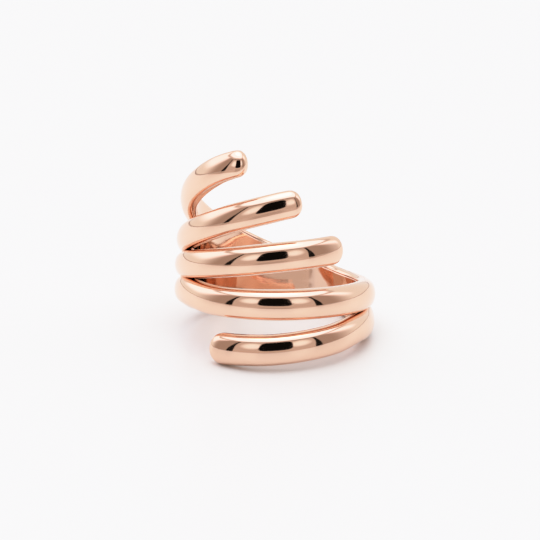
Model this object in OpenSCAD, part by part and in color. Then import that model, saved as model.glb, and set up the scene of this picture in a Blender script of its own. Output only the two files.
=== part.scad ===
// Band ring in polished rose gold: one wire coiled round the finger, with two more fingers of the
// same wire that leave its left side. Millimetres. The ring lies on its side as it rests by itself,
// so its finger axis leans back a little from the vertical. The front faces -Y and the floor is Z = 0.

/* [Finger] */
// Diameter of the hole for the finger
bore_d = 17.2; // [15:0.1:20]
// Height along the finger axis up to which the hole widens downwards
widen_to = 5; // [4:0.5:6]
// How much the radius of the hole widens over each millimetre below that
widening = 0.01; // [0.005:0.001:0.02]
// Height along the finger axis where the hole starts to narrow
narrow_from = 9; // [8:0.5:11]
// How much the radius of the hole narrows over each millimetre above that
narrowing = 0.063; // [0.045:0.001:0.07]

/* [Wire] */
// Thickness of the wire where it is thickest
wire_t = 1.9; // [1.8:0.05:2.2]
// Radius of the crown of the half-round wire, as a share of its width
crown = 0.72; // [0.66:0.01:0.8]
// Angle from the crest at which the crown turns into the tight shoulder
shoulder = 24; // [20:1:32]
// Radius of the wire's two inner corners
corner_r = 0.45; // [0.3:0.05:0.5]
// How square the free ends are, from 2 for a plain half circle upwards
end_square = 2.25; // [2:0.05:3]

/* [Stand] */
// How far the finger axis leans back as the ring lies on its lower edge
lean = 13.2; // [12:0.1:15]
// Height of the finger axis's zero point over the floor
stand_z = -1.683; // [-3:0.001:0]
// Shift that brings the middle of the ring's depth over the origin
stand_y = -1.2; // [-3:0.01:1]

/* [Facets] */
// Angle between two sections along the wire
step = 6; // [4:1:10]
// Sections in each rounded end
end_sections = 5; // [4:1:7]
// Points across the crown of each section
crown_points = 9; // [7:2:13]

/* [Hidden] */

// Largest radius of the ring
outer_r = bore_d / 2 + wire_t;
// Radius to the middle of the wall, on which lengths round the finger are measured
mid_r = bore_d / 2 + 1;
// How far the main wire, the two other fingers and the webs reach into the hole before it is cut
bite = 0.35;
upper_bite = 0.45;
middle_bite = 0.55;
web_bite = 0.25;

// Paths of the wire. Angles run anticlockwise from above: 0 right, 90 back, 180 left, 270 front.
// The main wire starts at the lowest free end in front and climbs for a little over two turns.
// Columns: angle, height of the middle, width, how far the crest lies inside the largest radius
main_wire = [
    [-493.5, 1.62, 3.30, 0.10],
    [-475, 1.62, 3.25, 0.10],
    [-450, 1.75, 3.20, 0.10],
    [-410, 2.50, 3.15, 0.10],
    [-390, 3.10, 3.05, 0.10],
    [-360, 3.40, 3.05, 0.10],
    [-330, 4.45, 3.10, 0.10],
    [-300, 5.25, 3.15, 0.05],
    [-270, 5.60, 3.20, 0.05],
    [-240, 5.35, 3.30, 0.05],
    [-210, 5.50, 3.30, 0.05],
    [-185, 6.60, 2.95, 0.00],
    [-160, 6.85, 2.90, 0.00],
    [-130, 6.50, 3.05, 0.00],
    [-90, 6.38, 3.20, 0.00],
    [-50, 6.38, 3.15, 0.00],
    [-15, 6.35, 3.05, 0.00],
    [10, 6.20, 3.05, 0.00],
    [38, 6.35, 3.10, 0.00],
    [60, 7.10, 3.10, 0.05],
    [90, 8.60, 3.10, 0.10],
    [125, 11.30, 3.05, 0.30],
    [152, 13.85, 2.90, 0.60],
    [180, 16.20, 2.95, 0.66],
    [203, 18.05, 3.00, 0.68],
    [225, 19.71, 2.95, 0.76],
    [240, 20.53, 2.85, 1.00],
    [250.1, 20.86, 2.75, 1.20]
];
// The two other fingers start inside the back of the band and fan out to the left
upper_finger = [
    [60, 7.00, 2.70, 0.45],
    [90, 8.00, 3.00, 0.25],
    [120, 9.30, 3.05, 0.20],
    [150, 10.60, 2.90, 0.20],
    [180, 11.95, 2.75, 0.24],
    [195, 12.70, 2.90, 0.25],
    [210, 13.45, 2.95, 0.30],
    [225, 14.25, 2.95, 0.36],
    [240, 15.05, 2.95, 0.48],
    [270, 16.29, 2.95, 0.72],
    [288.2, 16.84, 2.85, 0.80]
];
middle_finger = [
    [60, 6.20, 2.80, 0.45],
    [90, 7.00, 3.00, 0.25],
    [120, 7.90, 3.00, 0.10],
    [150, 8.65, 2.85, 0.05],
    [180, 9.30, 2.75, 0.05],
    [195, 9.65, 2.90, 0.05],
    [210, 9.95, 2.95, 0.05],
    [240, 10.60, 3.05, 0.08],
    [270, 11.20, 3.10, 0.16],
    [290, 11.45, 3.05, 0.32],
    [318.7, 11.74, 3.00, 0.68]
];
// Columns of the tables
ANGLE = 0;
HEIGHT = 1;
WIDTH = 2;
TAPER = 3;
// Angles at which the slits between the turns end: at the right, under the top finger, at the left
right_slit = -12;
upper_slit = 150;
left_slit = 187;
// Angle over which the two webs overlap
web_overlap = 6;
// Wall of the web between two turns, under the level of their shoulders
web_wall = 0.8;
// Where the main wire is divided into two solids: at the back left, inside the band
seam = -195;

// First and last angle of a path
function root(path) = path[0][ANGLE];
function tip(path) = path[len(path) - 1][ANGLE];

// Row of a table that the angle a falls after
function row_at(path, a, i = 0) =
    i >= len(path) - 2 || a <= path[i + 1][ANGLE] ? i : row_at(path, a, i + 1);

// Rise of a column at one row of a table, from the rows on both sides of it
function rise(path, i, column) =
    let (before = path[max(i - 1, 0)], after = path[min(i + 1, len(path) - 1)])
    (after[column] - before[column]) / (after[ANGLE] - before[ANGLE]);

// Smooth curve through a column of a table
function along(path, a, column) =
    let (
        i = row_at(path, a),
        span = path[i + 1][ANGLE] - path[i][ANGLE],
        u = (a - path[i][ANGLE]) / span,
        ease = u * u * (3 - 2 * u)
    )
    path[i][column] * (1 - ease) + path[i + 1][column] * ease
    + span * u * (1 - u) * ((1 - u) * rise(path, i, column) - u * rise(path, i + 1, column));

// Angle at which the wire climbs
function climb(path, a) =
    let (b = min(max(a, root(path) + 1), tip(path) - 1))
    atan((along(path, b + 0.5, HEIGHT) - along(path, b - 0.5, HEIGHT)) / (mid_r * PI / 180));

// Radius of the hole at a height along the finger axis
function hole_r(h) = bore_d / 2 - narrowing * max(h - narrow_from, 0);

// Height of the half-round outside over the hole, at the distance q from the wire's middle line
function outside(q, half, wall) =
    let (
        crown_r = crown * 2 * half,
        side = sin(shoulder),
        shoulder_r = (half - crown_r * side) / (1 - side),
        offset = (crown_r - shoulder_r) * side
    )
    wall - crown_r + (
        q < crown_r * side
            ? sqrt(crown_r * crown_r - q * q)
            : (crown_r - shoulder_r) * cos(shoulder) + sqrt(max(pow(shoulder_r, 2) - pow(q - offset, 2), 0))
    );

// Height of the inner corner over the hole, at the distance q from the wire's middle line
function inside(q, half, depth) =
    q < half - corner_r + 0.01
        ? -depth
        : corner_r - sqrt(max(pow(corner_r, 2) - pow(q - half + corner_r, 2), 0));

// Places across the wire, as shares of half its width: over the crown, then back under it
function across(half) =
    let (corner = corner_r / half)
    [
        each [for (i = [0 : crown_points - 1]) [sin(90 - 180 * i / (crown_points - 1)), true]],
        each [for (b = [0, 45, 90]) [-(1 - corner + corner * cos(b)), false]],
        each [for (b = [90, 45, 0]) [1 - corner + corner * cos(b), false]]
    ];

// One section of the wire. Near a free end, x goes from 0 to 1 and the section narrows round it.
function section(path, depth, a, x) =
    let (
        half = along(path, a, WIDTH) / 2,
        height = along(path, a, HEIGHT),
        wall = outer_r - along(path, a, TAPER) - hole_r(height),
        slope = climb(path, a),
        narrow = pow(1 - pow(x, end_square), 1 / end_square)
    )
    [
        for (place = across(half))
            let (
                t = place[0] * half * narrow,
                q = min(pow(pow(x * half, end_square) + pow(abs(t), end_square), 1 / end_square), half),
                r = hole_r(height) + (place[1] ? outside(q, half, wall) : inside(q, half, depth)),
                turn = a - t * sin(slope) / mid_r * 180 / PI
            )
            [r * cos(turn), r * sin(turn), height + t * cos(slope)]
    ];

// Angle that a rounded end takes up
function end_angle(path, a) = along(path, a, WIDTH) / 2 * cos(climb(path, a)) / mid_r * 180 / PI;

// Angles of the sections of one stretch, each with its place x in a rounded end
function stations(path, from, to, open_from, open_to) =
    let (
        start = from + (open_from ? end_angle(path, from) : 0),
        stop = to - (open_to ? end_angle(path, to) : 0),
        count = ceil((stop - start) / step),
        places = [for (i = [1 : end_sections]) min(sin(90 * i / end_sections), 0.985)]
    )
    [
        each open_from
            ? [for (i = [end_sections - 1 : -1 : 0]) [start - (start - from) * places[i], places[i]]]
            : [],
        each [for (i = [0 : count]) [start + (stop - start) * i / count, 0]],
        each open_to ? [for (x = places) [stop + (to - stop) * x, x]] : []
    ];

// Closed solid through a row of rings that all have the same number of points
module skin(rings) {
    n = len(rings);
    m = len(rings[0]);
    sides = [
        for (i = [0 : n - 2], j = [0 : m - 1])
            let (k = (j + 1) % m)
            each [
                [i * m + j, (i + 1) * m + k, i * m + k],
                [i * m + j, (i + 1) * m + j, (i + 1) * m + k]
            ]
    ];
    first_face = [for (j = [0 : m - 1]) j];
    last_face = [for (j = [m - 1 : -1 : 0]) (n - 1) * m + j];
    polyhedron(points = [for (ring = rings) each ring], faces = [first_face, each sides, last_face]);
}

// One stretch of wire as a closed solid
module stretch(path, depth, from, to, open_from = false, open_to = false) {
    skin([for (s = stations(path, from, to, open_from, open_to)) section(path, depth, s[0], s[1])]);
}

// Wall that joins the turns between the middle lines of a lower and an upper path. The lower path
// is the main wire one turn down.
module web(upper, from, to, wall) {
    count = ceil((to - from) / step);
    rings = [
        for (i = [0 : count])
            let (
                a = from + (to - from) * i / count,
                low = along(main_wire, a - 360, HEIGHT),
                high = along(upper, a, HEIGHT)
            )
            [
                for (corner = [[high, wall], [low, wall], [low, -web_bite], [high, -web_bite]])
                    let (r = hole_r(corner[0]) + corner[1])
                    [r * cos(a), r * sin(a), corner[0]]
            ]
    ];
    skin(rings);
}

// The hole for the finger: a true cylinder through the full band, with an easy lead in below it, and
// narrowing above it with the finger
module finger_hole() {
    below = 5;
    above = 26;
    low_r = bore_d / 2 + widening * (widen_to + below);
    translate([0, 0, -below])
        cylinder(r1 = low_r, r2 = bore_d / 2, h = below + widen_to, $fn = 180);
    translate([0, 0, widen_to])
        cylinder(d = bore_d, h = narrow_from - widen_to, $fn = 180);
    translate([0, 0, narrow_from])
        cylinder(r1 = bore_d / 2, r2 = hole_r(above), h = above - narrow_from, $fn = 180);
}

// The whole ring, soldered and polished into one piece
module band_ring() {
    color("#d9a184")
        translate([0, stand_y, stand_z])
            rotate([-lean, 0, 0])
                difference() {
                    resize([2 * outer_r, 0, 0], auto = true) {
                        stretch(main_wire, bite, root(main_wire), seam, open_from = true);
                        stretch(main_wire, bite, seam, tip(main_wire), open_to = true);
                        stretch(upper_finger, upper_bite, root(upper_finger), tip(upper_finger),
                            open_to = true);
                        stretch(middle_finger, middle_bite, root(middle_finger), tip(middle_finger),
                            open_to = true);
                        web(main_wire, right_slit, upper_slit, web_wall + 0.05);
                        web(upper_finger, upper_slit - web_overlap, left_slit, web_wall);
                    }
                    finger_hole();
                }
}

band_ring();
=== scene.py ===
# %% [markdown]
# # A coiled band ring in polished rose gold
# The ring is one half-round wire that is coiled round the finger, with two more fingers of the same
# wire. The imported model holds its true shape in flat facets. A mirror finish shows every facet, so
# this lesson models the same ring again with a fine mesh and polishes it.

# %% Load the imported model
import math

import bmesh
import bpy
import numpy as np
from mathutils import Matrix, Vector


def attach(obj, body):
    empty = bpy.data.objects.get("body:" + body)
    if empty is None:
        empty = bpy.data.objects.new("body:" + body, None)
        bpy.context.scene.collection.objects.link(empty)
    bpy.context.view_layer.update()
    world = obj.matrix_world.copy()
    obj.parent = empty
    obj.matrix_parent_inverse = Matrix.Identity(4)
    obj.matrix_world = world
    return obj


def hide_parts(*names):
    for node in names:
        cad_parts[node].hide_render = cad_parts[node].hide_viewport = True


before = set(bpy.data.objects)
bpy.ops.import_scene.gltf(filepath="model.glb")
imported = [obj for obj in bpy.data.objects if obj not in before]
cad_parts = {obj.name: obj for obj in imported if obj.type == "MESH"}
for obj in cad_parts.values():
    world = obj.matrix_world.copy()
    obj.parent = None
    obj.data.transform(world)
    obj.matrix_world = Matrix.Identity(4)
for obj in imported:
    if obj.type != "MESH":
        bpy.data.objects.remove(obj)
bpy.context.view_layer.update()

MM = 0.001


# %% [markdown]
# ## The lines that the wires follow
# On the bench the wire is bent round a mandrel. In numbers, each wire is a table of rows: an angle
# round the finger, the height of its middle, its width, how far its crest lies inside the ring's
# largest radius, and by how many degrees its crown is turned upwards. Angles run anticlockwise from
# above: 0 right, 90 back, 180 left, 270 front.
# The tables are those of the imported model, with the turn of the crown added and the crests of the upper
# free ends less than 0.2 mm further in. Such small things hardly change the outline, but they move
# every reflection. Between the rows the values have to run smoothly, because a mirror shows a kink in
# a curve long before the outline does.

# %% The tables
ANGLE, HEIGHT, WIDTH, TAPER, ROLL = range(5)
MAIN_WIRE = [
    (-493.5, 1.62, 3.30, 0.10, 0), (-475, 1.62, 3.25, 0.10, 0), (-450, 1.75, 3.20, 0.10, 0),
    (-410, 2.50, 3.15, 0.10, 0), (-390, 3.10, 3.05, 0.10, 0), (-360, 3.40, 3.05, 0.10, 0),
    (-330, 4.45, 3.10, 0.10, 0), (-300, 5.25, 3.15, 0.05, 0), (-270, 5.60, 3.20, 0.05, 0),
    (-240, 5.35, 3.30, 0.05, 0), (-210, 5.50, 3.30, 0.05, 0), (-185, 6.60, 2.95, 0.00, 0),
    (-160, 6.85, 2.90, 0.00, 0), (-130, 6.50, 3.05, 0.00, 0), (-90, 6.38, 3.20, 0.00, 0),
    (-50, 6.38, 3.15, 0.00, 0), (-15, 6.35, 3.05, 0.00, 0), (10, 6.20, 3.05, 0.00, 0),
    (38, 6.35, 3.10, 0.00, 0), (60, 7.10, 3.10, 0.05, 0), (90, 8.60, 3.10, 0.10, 0),
    (125, 11.30, 3.05, 0.30, 0), (152, 13.85, 2.90, 0.60, 0), (180, 16.20, 2.95, 0.66, 0),
    (203, 18.05, 3.00, 0.68, 5), (225, 19.71, 2.95, 0.76, 8), (240, 20.53, 2.85, 1.00, 8),
    (250.1, 20.86, 2.75, 1.38, 8),
]
UPPER_FINGER = [
    (60, 7.00, 2.70, 0.45, 0), (90, 8.00, 3.00, 0.25, 0), (120, 9.30, 3.05, 0.20, 0),
    (150, 10.60, 2.90, 0.20, 0), (180, 11.95, 2.75, 0.24, 0), (195, 12.70, 2.90, 0.25, 4),
    (210, 13.45, 2.95, 0.30, 6), (225, 14.25, 2.95, 0.36, 7), (240, 15.05, 2.95, 0.48, 6.5),
    (270, 16.29, 2.95, 0.74, 2.5), (288.2, 16.82, 2.85, 0.95, 5),
]
MIDDLE_FINGER = [
    (60, 6.20, 2.80, 0.45, 0), (90, 7.00, 3.00, 0.25, 0), (120, 7.90, 3.00, 0.10, 0),
    (150, 8.65, 2.85, 0.05, 0), (180, 9.30, 2.75, 0.05, 0), (195, 9.65, 2.90, 0.05, 2),
    (210, 9.95, 2.95, 0.05, 4), (240, 10.60, 3.05, 0.10, 4), (270, 11.20, 3.10, 0.24, 2),
    (290, 11.45, 3.05, 0.41, 2), (318.7, 11.74, 3.00, 0.78, 2),
]
BORE_R = 8.6            # radius of the hole for the finger
WIRE_T = 1.9            # thickness of the wire
OUTER_R = BORE_R + WIRE_T
MID_R = BORE_R + 1.0    # where lengths round the finger are measured, about the middle of the wall
DEGREE = MID_R * math.pi / 180  # length of one degree there
SEAM = -195             # the main wire is made as two bars that are welded here


# %% [markdown]
# ## From rows to curves
# A cubic curve runs through the rows, and a few smoothing passes take out what is left of its kinks.

# %% Smooth curves through the tables
SMOOTHING = 5           # passes over the values at whole steps


class Line:
    """One table as smooth curves of its columns over the angle."""

    def __init__(self, rows, step=1.0):
        table = np.array(rows)
        self.root, self.tip = table[0, ANGLE], table[-1, ANGLE]
        self.at = np.linspace(self.root, self.tip, int(round((self.tip - self.root) / step)) + 1)
        self.values = {}
        for column in (HEIGHT, WIDTH, TAPER, ROLL):
            smooth = self.through(table[:, ANGLE], table[:, column])
            for _ in range(SMOOTHING):
                smooth[1:-1] = smooth[:-2] / 4 + smooth[1:-1] / 2 + smooth[2:] / 4
            self.values[column] = smooth
        self.slopes = np.arctan(np.gradient(self.values[HEIGHT], self.at) / DEGREE)

    def through(self, knots, values):
        """Cubic pieces whose slope at a row comes from the rows on both sides of it."""
        rows = np.arange(len(knots))
        low, high = np.maximum(rows - 1, 0), np.minimum(rows + 1, len(knots) - 1)
        slopes = (values[high] - values[low]) / (knots[high] - knots[low])
        i = np.clip(np.searchsorted(knots, self.at, side="left") - 1, 0, len(knots) - 2)
        span = knots[i + 1] - knots[i]
        u = (self.at - knots[i]) / span
        ease = u * u * (3 - 2 * u)
        return (values[i] * (1 - ease) + values[i + 1] * ease
                + span * u * (1 - u) * ((1 - u) * slopes[i] - u * slopes[i + 1]))

    def get(self, column, angle):
        return np.interp(angle, self.at, self.values[column])

    def slope(self, angle):
        return np.interp(angle, self.at, self.slopes)


main_wire, upper_finger, middle_finger = Line(MAIN_WIRE), Line(UPPER_FINGER), Line(MIDDLE_FINGER)
print("main wire turns %.0f degrees and climbs %.1f mm"
      % (main_wire.tip - main_wire.root, MAIN_WIRE[-1][HEIGHT] - MAIN_WIRE[0][HEIGHT]))


# %% [markdown]
# ## The hole for the finger
# The hole is round and straight through the band, and it narrows a little towards the free ends.
# A cylinder with a cone on it would leave a line where they meet, so the narrowing starts softly.

# %% The hole's radius
NARROW_FROM, NARROWING = 9.0, 0.063     # height, and change of radius for each millimetre above it
WIDEN_TO, WIDENING = 5.0, 0.01          # height, and change of radius for each millimetre below it
SOFTLY = 1.6                            # half the length over which such a change sets in


def slope_past(distance, slope):
    """A straight slope past distance 0 that sets in softly."""
    return slope * SOFTLY * np.logaddexp(0, distance / SOFTLY)


def hole_r(height):
    height = np.asarray(height, float)
    return BORE_R - slope_past(height - NARROW_FROM, NARROWING) + slope_past(WIDEN_TO - height, WIDENING)


print("hole radius at the band %.3f mm, at the top %.3f mm" % (hole_r(6.5), hole_r(20.8)))

# %% [markdown]
# ## A straight bar of half-round wire
# A wire is easiest to model while it is still straight. Its half section is drawn by turning one
# point round the centres of its arcs: the wide crown, the tight shoulder and the inner corner.

# %% The half section
UNIT_W = 3.1            # width of the bar before it is bent
HALF_W = UNIT_W / 2
CROWN_R = 0.72 * UNIT_W
CROWN_ANGLE = math.radians(24)
SHOULDER_R = (HALF_W - CROWN_R * math.sin(CROWN_ANGLE)) / (1 - math.sin(CROWN_ANGLE))
CORNER_R = 0.45         # radius of the inner corner
DRAFT = 0.1             # how far the part inside the hole is drawn in
BITE = 0.35             # how far the bar reaches into the hole before it is cut
ARC_STEPS, CORNER_STEPS = 10, 6
ALONG, UP = Vector((1, 0, 0)), Vector((0, 0, 1))


def turned(bm, vert, centre, angle, steps):
    """The vertex at the end of an arc that starts at vert."""
    made = bmesh.ops.spin(bm, geom=[vert], cent=centre, axis=ALONG, angle=angle, steps=steps,
                          use_duplicate=False)
    return next(v for v in made["geom_last"] if isinstance(v, bmesh.types.BMVert))


def drawn(bm, vert, to, steps=1):
    """The vertex at the end of a straight line that starts at vert."""
    step = (Vector(to) - vert.co) / steps
    for _ in range(steps):
        made = bmesh.ops.extrude_vert_indiv(bm, verts=[vert])
        vert = made["verts"][0]
        bmesh.ops.translate(bm, verts=[vert], vec=step)
    return vert


def half_section(bm, depth):
    crown_mid = Vector((0, 0, WIRE_T - CROWN_R))
    crown_end = Vector((0, math.sin(CROWN_ANGLE), math.cos(CROWN_ANGLE)))
    shoulder_mid = crown_mid + crown_end * (CROWN_R - SHOULDER_R)
    vert = bm.verts.new((0, 0, WIRE_T))
    vert = turned(bm, vert, crown_mid, -CROWN_ANGLE, ARC_STEPS)
    vert = turned(bm, vert, shoulder_mid, -(math.pi / 2 - CROWN_ANGLE), ARC_STEPS)
    vert = drawn(bm, vert, (0, HALF_W, CORNER_R), 2)
    vert = turned(bm, vert, Vector((0, HALF_W - CORNER_R, CORNER_R)), -math.pi / 2, CORNER_STEPS)
    vert = drawn(bm, vert, (0, HALF_W - CORNER_R - DRAFT, -depth))
    drawn(bm, vert, (0, 0, -depth), 2)


print("radii in mm: crown %.2f, shoulder %.2f, inner corner %.2f" % (CROWN_R, SHOULDER_R, CORNER_R))

# %% [markdown]
# ## The free end
# Turning the half section about the crest makes a dome. Seen from above, the dome is then made a
# little squarer than a half circle, and the flat of the crown is run on towards the end. A tight end
# on a flat crown keeps the reflections long and straight, as on a wire that was filed and polished.


# %% A free end
END_STEPS = 36
END_SQUARE = 2.25       # 2 is a plain half circle, and more is squarer
END_FLAT = 0.4          # how far the flat of the crown runs on towards the end
SAME_PLACE = 1e-5       # points that are closer than this are one


def free_end(depth, way):
    """The rounded end of a bar, open at 0. The bar is to run on to the side of way, 1 or -1."""
    bm = bmesh.new()
    half_section(bm, depth)
    bmesh.ops.spin(bm, geom=bm.verts[:] + bm.edges[:], cent=(0, 0, 0), axis=UP, angle=math.pi * way,
                   steps=END_STEPS, use_duplicate=False)
    bmesh.ops.remove_doubles(bm, verts=bm.verts, dist=SAME_PLACE)
    for v in bm.verts:
        reach = math.hypot(v.co.x, v.co.y)
        if reach > SAME_PLACE:
            along, across = abs(v.co.x / reach), abs(v.co.y / reach)
            share = (along ** END_SQUARE + across ** END_SQUARE) ** (-1 / END_SQUARE)
            if v.co.z > CORNER_R:
                share *= (HALF_W / reach) ** (END_FLAT * along ** 2)
            v.co.x, v.co.y = v.co.x * share, v.co.y * share
    return bm


# %% [markdown]
# ## Drawing the bar out
# The open rim of the end is drawn out along the bar, as a bench would draw wire. One step of the mesh
# for each degree round the finger is enough for a smooth reflection. A finger's bar gets a flat root,
# which lies deep inside the band. The main wire has two free ends, so it is two bars that are welded.

# %% Bars
WELD_GAP = 1e-3         # the open rims of two bars that meet are closer than this


def wire_bar(line, start, stop, depth):
    """A bar from its rounded end at angle start to its open end at angle stop, still straight."""
    way = 1 if stop > start else -1
    bm = free_end(depth, way)
    stretch = math.cos(line.slope(start)) * line.get(WIDTH, start) / UNIT_W
    end_length = HALF_W * stretch
    rim_at = start * DEGREE + way * end_length
    bmesh.ops.scale(bm, verts=bm.verts, vec=(stretch, 1, 1))
    bmesh.ops.translate(bm, verts=bm.verts, vec=ALONG * rim_at)
    rim = [e for e in bm.edges if e.is_boundary]
    made = bmesh.ops.extrude_edge_only(bm, edges=rim)["geom"]
    far = {v for v in made if isinstance(v, bmesh.types.BMVert)}
    bmesh.ops.translate(bm, verts=list(far), vec=ALONG * (stop * DEGREE - rim_at))
    steps = int(round(abs(stop - start) - end_length / DEGREE))
    bmesh.ops.subdivide_edges(bm, edges=[e for e in bm.edges if len(far.intersection(e.verts)) == 1],
                              cuts=steps - 1, use_grid_fill=True)
    return bm


def finger_bar(line, depth):
    """A bar for a finger, closed at its root with a flat face."""
    bm = wire_bar(line, line.tip, line.root, depth)
    bmesh.ops.edgeloop_fill(bm, edges=[e for e in bm.edges if e.is_boundary])
    return bm


def two_ended_bar(line, seam, depth):
    """Two bars whose open ends meet at angle seam and are welded there."""
    bm = wire_bar(line, line.root, seam, depth)
    other = wire_bar(line, line.tip, seam, depth)
    half = bpy.data.meshes.new("other_half")
    other.to_mesh(half)
    other.free()
    bm.from_mesh(half)
    bpy.data.meshes.remove(half)
    bmesh.ops.remove_doubles(bm, verts=[v for v in bm.verts if v.is_boundary], dist=WELD_GAP)
    return bm


# %% [markdown]
# ## Bending the bar round the finger
# Bending moves each point of the straight bar to its place round the finger. The distance along the
# bar becomes an angle, the distance across it leans with the climb of the wire, and the height over
# the bar's flat side becomes the distance from the hole's wall. The width, the thickness and the turn
# of the crown follow the table on the way.

# %% Bend
def bend(bm, line):
    along, across, out = np.array([v.co for v in bm.verts]).T
    angle = along / DEGREE
    height, slope = line.get(HEIGHT, angle), line.slope(angle)
    across = across * line.get(WIDTH, angle) / UNIT_W
    inner = hole_r(height)
    wall = OUTER_R - line.get(TAPER, angle) - inner
    lift = across * np.tan(np.radians(line.get(ROLL, angle)))
    radius = inner + out * (wall - lift) / WIRE_T
    turn = np.radians(angle) - across * np.sin(slope) / MID_R
    for v, r, t, z in zip(bm.verts, radius, turn, height + across * np.cos(slope)):
        v.co = (r * math.cos(t), r * math.sin(t), z)


def smooth_object(bm, name, lay, flip=False):
    """A mesh object whose corners keep their smooth normals and lay, their place before bending."""
    for face in bm.faces:
        face.smooth = True
    bm.normal_update()
    normals = np.array([v.normal for v in bm.verts]) * (-1 if flip else 1)
    mesh = bpy.data.meshes.new(name)
    bm.to_mesh(mesh)
    bm.free()
    corners = np.zeros(len(mesh.loops), int)
    mesh.loops.foreach_get("vertex_index", corners)
    for kept, values in (("polished", normals), ("lay", lay)):
        attribute = mesh.attributes.new(kept, "FLOAT_VECTOR", "CORNER")
        attribute.data.foreach_set("vector", values[corners].ravel())
    ob = bpy.data.objects.new(name, mesh)
    bpy.context.scene.collection.objects.link(ob)
    print("%s: %d faces" % (name, len(mesh.polygons)))
    return ob


def bent_wire(name, line, bm):
    bmesh.ops.recalc_face_normals(bm, faces=bm.faces)
    print("open edges left on %s: %d" % (name, sum(not e.is_manifold for e in bm.edges)))
    lay = np.array([v.co for v in bm.verts])
    bend(bm, line)
    return smooth_object(bm, name, lay)


MORE_BITE = 0.1         # each wire reaches a little deeper, so that no two inner faces coincide

coil = bent_wire("coil", main_wire, two_ended_bar(main_wire, SEAM, BITE))
upper_wire = bent_wire("upper_finger", upper_finger, finger_bar(upper_finger, BITE + MORE_BITE))
middle_wire = bent_wire("middle_finger", middle_finger, finger_bar(middle_finger, BITE + 2 * MORE_BITE))

# %% [markdown]
# ## The webs behind the grooves
# Round the back the turns are soldered side by side, so no light comes through between them. A thin
# strip joins the middle lines of two turns there, lower than their shoulders, and the grooves stay.

# %% Webs
RIGHT_SLIT, UPPER_SLIT, LEFT_SLIT = -12, 150, 187   # where the slits between the turns end
WEB_OVERLAP = 6         # degrees by which one web runs into the other
BAND_WEB_WALL, LEFT_WEB_WALL = 0.85, 0.8            # how far the webs stand out of the hole's wall
WEB_BITE = 0.25                                     # and how far they reach into it


def round_the_finger(bm):
    """The lay of a web or of the core: how far round the finger, up and out each point is."""
    return np.array([(math.atan2(v.co.y, v.co.x) * BORE_R, v.co.z, math.hypot(v.co.x, v.co.y))
                     for v in bm.verts])


def web(name, upper, start, stop, wall):
    """A strip between the main wire one turn down and the upper line."""
    bm = bmesh.new()
    bmesh.ops.create_cube(bm, size=1)
    bmesh.ops.translate(bm, verts=bm.verts, vec=(0.5, 0.5, 0.5))
    bmesh.ops.scale(bm, verts=bm.verts, vec=(stop - start, 1, 1))
    bmesh.ops.translate(bm, verts=bm.verts, vec=ALONG * start)
    long_edges = [e for e in bm.edges if abs(e.verts[0].co.x - e.verts[1].co.x) > 1]
    bmesh.ops.subdivide_edges(bm, edges=long_edges, cuts=int(stop - start) - 1, use_grid_fill=True)
    for v in bm.verts:
        angle, share, side = v.co
        low, high = float(main_wire.get(HEIGHT, angle - 360)), float(upper.get(HEIGHT, angle))
        height = low + (high - low) * share
        r, turn = float(hole_r(height)) + (wall if side > 0.5 else -WEB_BITE), math.radians(angle)
        v.co = (r * math.cos(turn), r * math.sin(turn), height)
    bmesh.ops.recalc_face_normals(bm, faces=bm.faces)
    return smooth_object(bm, name, round_the_finger(bm))


band_web = web("band_web", main_wire, RIGHT_SLIT, UPPER_SLIT, BAND_WEB_WALL)
left_web = web("left_web", upper_finger, UPPER_SLIT - WEB_OVERLAP, LEFT_SLIT, LEFT_WEB_WALL)

# %% [markdown]
# ## The core for the hole
# The core is the hole's own shape, turned from one line, and it is cut out of everything at the end.

# %% The core that cuts the hole
CORE_FROM, CORE_TO = -5.0, 27.0     # heights well below and above the ring
CORE_ROWS, CORE_STEPS = 64, 240     # along it and round it


def finger_core(name):
    bm = bmesh.new()
    vert = bm.verts.new((0, 0, CORE_FROM))
    for i in range(CORE_ROWS + 1):
        z = CORE_FROM + (CORE_TO - CORE_FROM) * i / CORE_ROWS
        vert = drawn(bm, vert, (float(hole_r(z)), 0, z))
    drawn(bm, vert, (0, 0, CORE_TO))
    bmesh.ops.spin(bm, geom=bm.verts[:] + bm.edges[:], cent=(0, 0, 0), axis=UP, angle=2 * math.pi,
                   steps=CORE_STEPS, use_merge=True, use_duplicate=False)
    bmesh.ops.remove_doubles(bm, verts=bm.verts, dist=SAME_PLACE)
    bmesh.ops.recalc_face_normals(bm, faces=bm.faces)
    return smooth_object(bm, name, round_the_finger(bm), flip=True)


core = finger_core("finger_core")

# %% [markdown]
# ## One piece of metal
# The bars and webs become one closed body, and the core cuts the hole for the finger. A cut leaves
# thin triangles along the grooves, and their own normals would break the mirror there. So each part
# carries its smooth normals through the cut, and the finished ring takes them back.

# %% Join and cut
def cut_together(base, others, tool):
    """One mesh of base and the others joined, with tool cut out. The separate objects are removed."""
    for other, operation in [(o, "UNION") for o in others] + [(tool, "DIFFERENCE")]:
        modifier = base.modifiers.new(other.name, "BOOLEAN")
        modifier.operation, modifier.object, modifier.solver = operation, other, "MANIFOLD"
    depsgraph = bpy.context.evaluated_depsgraph_get()
    mesh = bpy.data.meshes.new_from_object(base.evaluated_get(depsgraph), depsgraph=depsgraph,
                                           preserve_all_data_layers=True)
    for ob in [base, *others, tool]:
        bpy.data.objects.remove(ob)
    return mesh


ring_mesh = cut_together(coil, [upper_wire, middle_wire, band_web, left_web], core)
ring_mesh.name = "band_ring_polished"
print("joined:", len(ring_mesh.polygons), "faces", [a.name for a in ring_mesh.attributes])

# %% [markdown]
# ## Laying the ring down
# The ring lies on its lower edge, so the finger axis leans back a little. The lean and the stand are
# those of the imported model.

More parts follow.
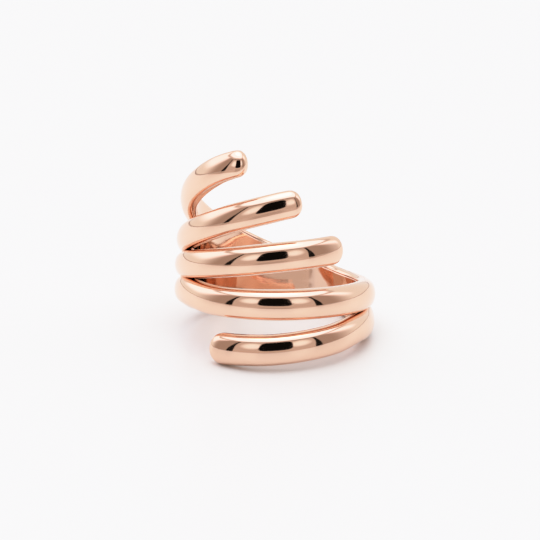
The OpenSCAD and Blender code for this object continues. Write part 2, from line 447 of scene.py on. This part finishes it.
# %% Place
LEAN = math.radians(13.2)
STAND = Vector((0, -1.2, -1.683))   # how far the leaning ring is moved, in millimetres
to_floor = Matrix.Scale(MM, 4) @ Matrix.Translation(STAND) @ Matrix.Rotation(-LEAN, 4, "X")
turn_only = np.array(Matrix.Rotation(-LEAN, 3, "X"))

carried = np.zeros(len(ring_mesh.loops) * 3)
ring_mesh.attributes["polished"].data.foreach_get("vector", carried)
carried = carried.reshape(-1, 3) @ turn_only.T
ring_mesh.transform(to_floor)
ring_mesh.transform(Matrix.Translation((0, 0, -min(v.co.z for v in ring_mesh.vertices))))
ring_mesh.attributes.remove(ring_mesh.attributes["polished"])
lengths = np.linalg.norm(carried, axis=1)
print("corners without a carried normal:", int((lengths < 0.5).sum()))
ring_mesh.normals_split_custom_set(carried / np.maximum(lengths, 1e-9)[:, None])
ring = bpy.data.objects.new("band_ring_polished", ring_mesh)
bpy.context.scene.collection.objects.link(ring)
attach(ring, "root")
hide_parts("band_ring")
print("laid down: %d faces" % len(ring_mesh.polygons))

# %% [markdown]
# ## Short names for nodes
# The metal, the paper and the studio are all mixed from nodes. This helper makes a node and plugs
# numbers, colours or other nodes into it, so that the recipes below stay short.

# %% A recipe
class Recipe:
    """Makes and joins the nodes of one tree."""

    def __init__(self, owner):
        owner.use_nodes = True
        self.nodes, self.links = owner.node_tree.nodes, owner.node_tree.links

    def plug(self, value, socket):
        if isinstance(value, bpy.types.NodeSocket):
            self.links.new(value, socket)
        else:
            socket.default_value = (*value, 1) if socket.type == "RGBA" else value

    def node(self, kind, inputs, **settings):
        node = self.nodes.new("ShaderNode" + kind)
        for name, value in settings.items():
            setattr(node, name, value)
        for name, value in inputs.items():
            self.plug(value, node.inputs[name])
        return node

    def calc(self, operation, *values):
        return self.node("Math", dict(enumerate(values)), operation=operation).outputs[0]

    def ramp(self, value, start, stop, low=0.0, high=1.0):
        """low where value is below start, high where it is above stop, and a soft change between them."""
        ends = {"Value": value, "From Min": start, "From Max": stop, "To Min": low, "To Max": high}
        return self.node("MapRange", ends, interpolation_type="SMOOTHSTEP").outputs[0]

    def until(self, value, start, stop):
        """1 where value is below start, 0 where it is above stop."""
        return self.ramp(value, start, stop, 1.0, 0.0)

    def times(self, first, *others):
        """The product. For masks it is 1 only where all of them are 1."""
        for other in others:
            first = self.calc("MULTIPLY", first, other)
        return first

    def painted(self, below, mask, colour):
        """below, with a colour painted over it where mask is 1."""
        return self.node("Mix", {0: mask, 6: below, 7: colour}, data_type="RGBA").outputs[2]

    def noise(self, place, waves, detail=2.0):
        """Cloudy values from 0 to 1, with so many waves to each unit in the three directions."""
        spread = self.node("Mapping", {"Vector": place, "Scale": waves}).outputs[0]
        return self.node("TexNoise", {"Vector": spread, "Scale": 1.0, "Detail": detail}).outputs["Fac"]


# %% [markdown]
# ## Rose gold
# A buffing wheel runs along the wire, so whatever the polish leaves lies along it as well: hair lines,
# a few longer scratches and a soft haze. The corners of the mesh remember how far along, across and
# out of the straight wire they were, in millimetres, and the noise is stretched in those directions.
# All of it changes the gloss, and the surface by less than a thousandth of a millimetre. The wheel
# can't reach the wall of the hole. That is rubbed by hand, which leaves low waves round the finger.

# %% Rose gold
GOLD_TONES = (0.868, 0.565, 0.415), (0.873, 0.572, 0.425)   # under thin haze and under thick haze
CLEAR, HAZY = 0.035, 0.06       # roughness under thin haze and under thick haze
HAIR_LINES_ADD, SCRATCHES_ADD = 0.02, 0.09      # what they add to the roughness
HAIR_LINES = 0.0002     # height of the hair lines in millimetres
WAVES = 0.015           # height of the waves on the hole's wall


def rose_gold():
    material = bpy.data.materials.new("rose_gold")
    metal = Recipe(material)
    shader = metal.nodes["Principled BSDF"]
    lay = metal.node("Attribute", {}, attribute_name="lay").outputs["Vector"]
    haze = metal.noise(lay, (0.35, 0.8, 0.8), 3)
    hair_lines = metal.noise(lay, (0.5, 11, 11), 4)
    # A scratch runs where a cloudy value passes its middle, and only in some places.
    ridge = metal.calc("ABSOLUTE", metal.calc("SUBTRACT", metal.noise(lay, (0.16, 1.3, 1.3), 1), 0.5))
    in_places = metal.ramp(metal.noise(lay, (0.4, 1, 1)), 0.5, 0.6)
    scratches = metal.times(metal.until(ridge, 0.0015, 0.004), in_places)
    under_haze = metal.ramp(haze, 0.3, 0.7, CLEAR, HAZY)
    gloss = metal.calc("ADD", under_haze, metal.times(hair_lines, HAIR_LINES_ADD))
    gloss = metal.calc("ADD", gloss, metal.times(scratches, SCRATCHES_ADD))
    metal.plug(gloss, shader.inputs["Roughness"])
    height = metal.calc("SUBTRACT", hair_lines, metal.times(scratches, 0.8))
    # On the wall of the hole, lay holds the distance from the finger's axis, far more than any wire's.
    inside = metal.ramp(metal.node("SeparateXYZ", {0: lay}).outputs["Z"], 3, 4)
    waves = metal.times(metal.noise(lay, (0.03, 0.7, 0), 1), inside)
    height = metal.calc("ADD", height, metal.times(waves, WAVES / HAIR_LINES))
    bump = metal.node("Bump", {"Height": height, "Strength": 1.0, "Distance": HAIR_LINES * MM})
    metal.plug(bump.outputs[0], shader.inputs["Normal"])
    tone = metal.painted(GOLD_TONES[0], metal.ramp(haze, 0.35, 0.65), GOLD_TONES[1])
    metal.plug(tone, shader.inputs["Base Color"])
    shader.inputs["Metallic"].default_value = 1
    return material


ring_mesh.materials.clear()
ring_mesh.materials.append(rose_gold())
print("metal:", ring_mesh.materials[0].name, "with", len(ring_mesh.materials[0].node_tree.nodes), "nodes")

# %% [markdown]
# ## A sheet of white paper
# The floor is one large pale sheet. Its weak sheen gives the ring a faint reflection to stand on. The
# sheet ends a little in front of the ring, outside the picture. The darker table past its edge is seen
# only in the underside of the metal, which gets its depth from it.

# %% Floor
TABLE_ENDS, PAPER_STARTS = -66, -61         # in millimetres, with the ring's front at -11
PAPER_TONES = (0.880, 0.903, 0.885), (0.886, 0.909, 0.891)
TABLE_TONE = (0.50, 0.45, 0.40)
FIBRES = 900            # paper fibres to the metre
FLOOR_HALF = 1.5        # half the floor's width in metres


def white_paper():
    material = bpy.data.materials.new("white_paper")
    paper = Recipe(material)
    shader = paper.nodes["Principled BSDF"]
    place = paper.node("TexCoord", {}).outputs["Object"]
    depth = paper.node("SeparateXYZ", {0: place}).outputs["Y"]
    fibres = paper.noise(place, (FIBRES, FIBRES, FIBRES), 5)
    sheet = paper.painted(PAPER_TONES[0], paper.ramp(fibres, 0.3, 0.7), PAPER_TONES[1])
    on_paper = paper.ramp(depth, TABLE_ENDS * MM, PAPER_STARTS * MM)
    paper.plug(paper.painted(TABLE_TONE, on_paper, sheet), shader.inputs["Base Color"])
    paper.plug(paper.ramp(fibres, 0.3, 0.7, 0.30, 0.34), shader.inputs["Roughness"])
    return material


bm = bmesh.new()
bmesh.ops.create_grid(bm, x_segments=1, y_segments=1, size=FLOOR_HALF)
floor_mesh = bpy.data.meshes.new("floor")
bm.to_mesh(floor_mesh)
bm.free()
floor_mesh.materials.append(white_paper())
floor = bpy.data.objects.new("floor", floor_mesh)
bpy.context.scene.collection.objects.link(floor)
print("floor: %.0f m wide, and the paper ends %d mm in front of the ring's middle"
      % (2 * FLOOR_HALF, -PAPER_STARTS))

# %% [markdown]
# ## The studio
# A mirror shows the room, so the room makes the look. It is painted by direction, in degrees. turn
# says how far to the right of the front a direction lies, aside how far to either side, and pitch how
# far above the horizon. The ceiling's edge bows down to the sides, and arch is a pitch that bows with it.

# %% Directions
DEGREES = 180 / math.pi
BOW, BOW_UNTIL = 0.0016, 55     # how fast the ceiling's edge comes down, and up to how far aside

world = bpy.data.worlds.new("studio")
bpy.context.scene.world = world
room = Recipe(world)
east, north, up = room.node("SeparateXYZ", {0: room.node("TexCoord", {}).outputs["Generated"]}).outputs
turn = room.times(room.calc("ARCTAN2", east, room.times(north, -1)), DEGREES)
aside = room.calc("ABSOLUTE", turn)
pitch = room.times(room.calc("ARCSINE", up), DEGREES)
bow = room.times(room.calc("POWER", room.calc("MINIMUM", aside, BOW_UNTIL), 2), BOW)
arch = room.calc("ADD", pitch, bow)


def grey(level, warmth=0.0):
    """A grey of this level. Warmth moves some of its blue to red."""
    return (level * (1 + 0.13 * warmth), level, level * (1 - 0.065 * warmth))


def oval(at_pitch, at_aside, high, wide, power=2.0):
    """1 on the edge of an oval, or of a rounded square where the power is high, and less inside."""
    parts = []
    for value, middle, size in ((aside, at_aside, wide), (pitch, at_pitch, high)):
        off = room.calc("DIVIDE", room.calc("SUBTRACT", value, middle), size)
        parts.append(room.calc("POWER", room.calc("ABSOLUTE", off), power))
    return room.calc("ADD", *parts)


print("warm grey:", [round(part, 3) for part in grey(0.5, 1.0)])

# %% [markdown]
# ## The walls
# Whatever lies behind is painted first. The walls are white at the back and grey towards the front. A
# light box stands on each side, with a slanted lower corner, and the left one reaches further back. A
# thin skirting runs along the foot of the walls and draws the line between wall and floor.

# %% Walls
WHITE_WALL, GREY_WALL, SKIRTING = grey(1.02), grey(0.36, 1.6), grey(0.50)
BOX_LIGHT = (1.85, 1.62, 1.80)

view = room.painted(WHITE_WALL, room.until(aside, 70, 108), GREY_WALL)
slant = room.calc("ADD", aside, room.times(pitch, 0.8))
past_end = room.calc("SUBTRACT", aside, room.ramp(turn, -10, 10, 148, 108))
light_box = room.times(room.ramp(slant, 100, 124), room.until(past_end, -8, 8),
                       room.ramp(pitch, 8, 22), room.until(pitch, 45, 49))
view = room.painted(view, light_box, BOX_LIGHT)
skirting = room.times(room.ramp(aside, 56, 60), room.until(pitch, 0.7, 1.9))
view = room.painted(view, skirting, SKIRTING)
print("walls:", len(room.nodes), "nodes")

# %% [markdown]
# ## The screen and the ceiling
# A grey screen stands in front, with a softly lit patch on either side. Above it the ceiling starts,
# and it grows brighter in three steps. A dark rail along the screen's top parts the two. On the ring
# these are the grey band, the soft gleam in it and the white crest.

# %% Screen and ceiling
SCREEN, PATCH_LIGHT, RAIL = grey(0.59, 1.0), (1.32, 1.30, 1.34), grey(0.12, 1.6)
CEILING_LIGHTS = grey(0.70, 0.5), (1.85, 1.75, 2.00), (3.2, 3.3, 3.1)     # at its edge, above it, on top

screen = room.times(room.until(aside, 52.5, 54.5), room.until(arch, 48, 50))
view = room.painted(view, screen, SCREEN)
view = room.painted(view, room.until(oval(28, 30, 12, 13), 0, 1.8), PATCH_LIGHT)
view = room.painted(view, room.ramp(arch, 48, 51), CEILING_LIGHTS[0])
view = room.painted(view, room.ramp(arch, 53, 57.5), CEILING_LIGHTS[1])
view = room.painted(view, room.ramp(pitch, 66, 78), CEILING_LIGHTS[2])
rail = room.times(room.until(aside, 54, 57), room.ramp(arch, 46.9, 48.3), room.until(arch, 48.7, 50.1))
view = room.painted(view, rail, RAIL)
print("screen and ceiling:", len(room.nodes), "nodes")

# %% [markdown]
# ## The slots and the dark gap
# The slots beside the screen are black, and they narrow upwards. The camera looks through a dark gap
# in the screen's middle. They make the dark strokes and the black patches that tell a real mirror.

# %% Slots and dark gap
SLOT, DARK_GAP = grey(0.012), grey(0.005)

slot_half = room.ramp(pitch, 4, 34, 4.2, 2.0)
slot_at = room.ramp(turn, -10, 10, 53.4, 51.4)
from_slot = room.calc("ABSOLUTE", room.calc("SUBTRACT", aside, slot_at))
slot = room.ramp(room.calc("SUBTRACT", slot_half, from_slot), -0.4, 0.4)
view = room.painted(view, room.times(slot, room.until(arch, 46, 50)), SLOT)
dark_gap = room.until(oval(26.5, 0, 19.5, 20.5, 4.5), 0.88, 1.12)
view = room.painted(view, dark_gap, DARK_GAP)
room.plug(view, room.nodes["Background"].inputs["Color"])
print("studio:", len(room.nodes), "nodes")

# %% [markdown]
# ## The camera
# The picture was taken from far away with a long lens, square to the ring's front and a little above
# the plane of its band. The ring leans back as it lies, so the camera looks down by both angles.

# %% Camera
VIEW = math.radians(8)              # angle of the view over the plane of the band
MIDDLE = Vector((-0.51, 0, 8.69))   # what the middle of the picture shows, before the ring is laid down
DISTANCE = 400.0                    # in millimetres
PICTURE, PER_MM = 540, 9.6          # pixels of the picture's side, and of a millimetre in it

look_at = Matrix.Rotation(-LEAN, 3, "X") @ MIDDLE + STAND
down = LEAN + VIEW
forward = Vector((0, math.cos(down), -math.sin(down)))
lens = bpy.data.cameras.new("camera")
lens.sensor_width = 36
lens.lens = PER_MM * DISTANCE / PICTURE * lens.sensor_width
lens.clip_start, lens.clip_end = 0.01, 10
camera = bpy.data.objects.new("camera", lens)
bpy.context.scene.collection.objects.link(camera)
place = Matrix.Translation((look_at - forward * DISTANCE) * MM)
camera.matrix_world = place @ Matrix.Rotation(math.pi / 2 - down, 4, "X")
bpy.context.scene.camera = camera
print("camera %.0f mm away, %.1f degrees down, lens %.0f mm" % (DISTANCE, math.degrees(down), lens.lens))

# %% [markdown]
# ## The film
# Up to mid grey the picture shows the light as it is. Above that the whites are held back softly, so
# that the bright floor and ceiling keep their shades and do not burn out.

# %% Film
TONES = ((0.5, 0.5), (0.65, 0.648), (0.8, 0.775), (0.9, 0.842), (1.0, 0.893), (1.1, 0.929),
         (1.25, 0.957), (1.5, 0.978), (1.9, 0.992), (2.5, 0.998))       # light, and how it is shown
BRIGHTEST = 4           # light that is shown as full white
ALL_COLOURS = 3         # the curve that works on red, green and blue alike

film = bpy.context.scene.view_settings
film.view_transform = "Standard"
film.use_curve_mapping = True
tones = film.curve_mapping
tones.clip_max_x = tones.clip_max_y = BRIGHTEST
curve = tones.curves[ALL_COLOURS]
curve.points[-1].location = (BRIGHTEST, 1)
for light, shown in TONES:
    curve.points.new(light, shown)
for point in curve.points:
    point.handle_type = "VECTOR"
tones.update()
examples = [(light, round(tones.evaluate(curve, light), 3)) for light in (0.3, 0.8, 1, 1.2, 1.8)]
print("light and how it is shown:", examples)
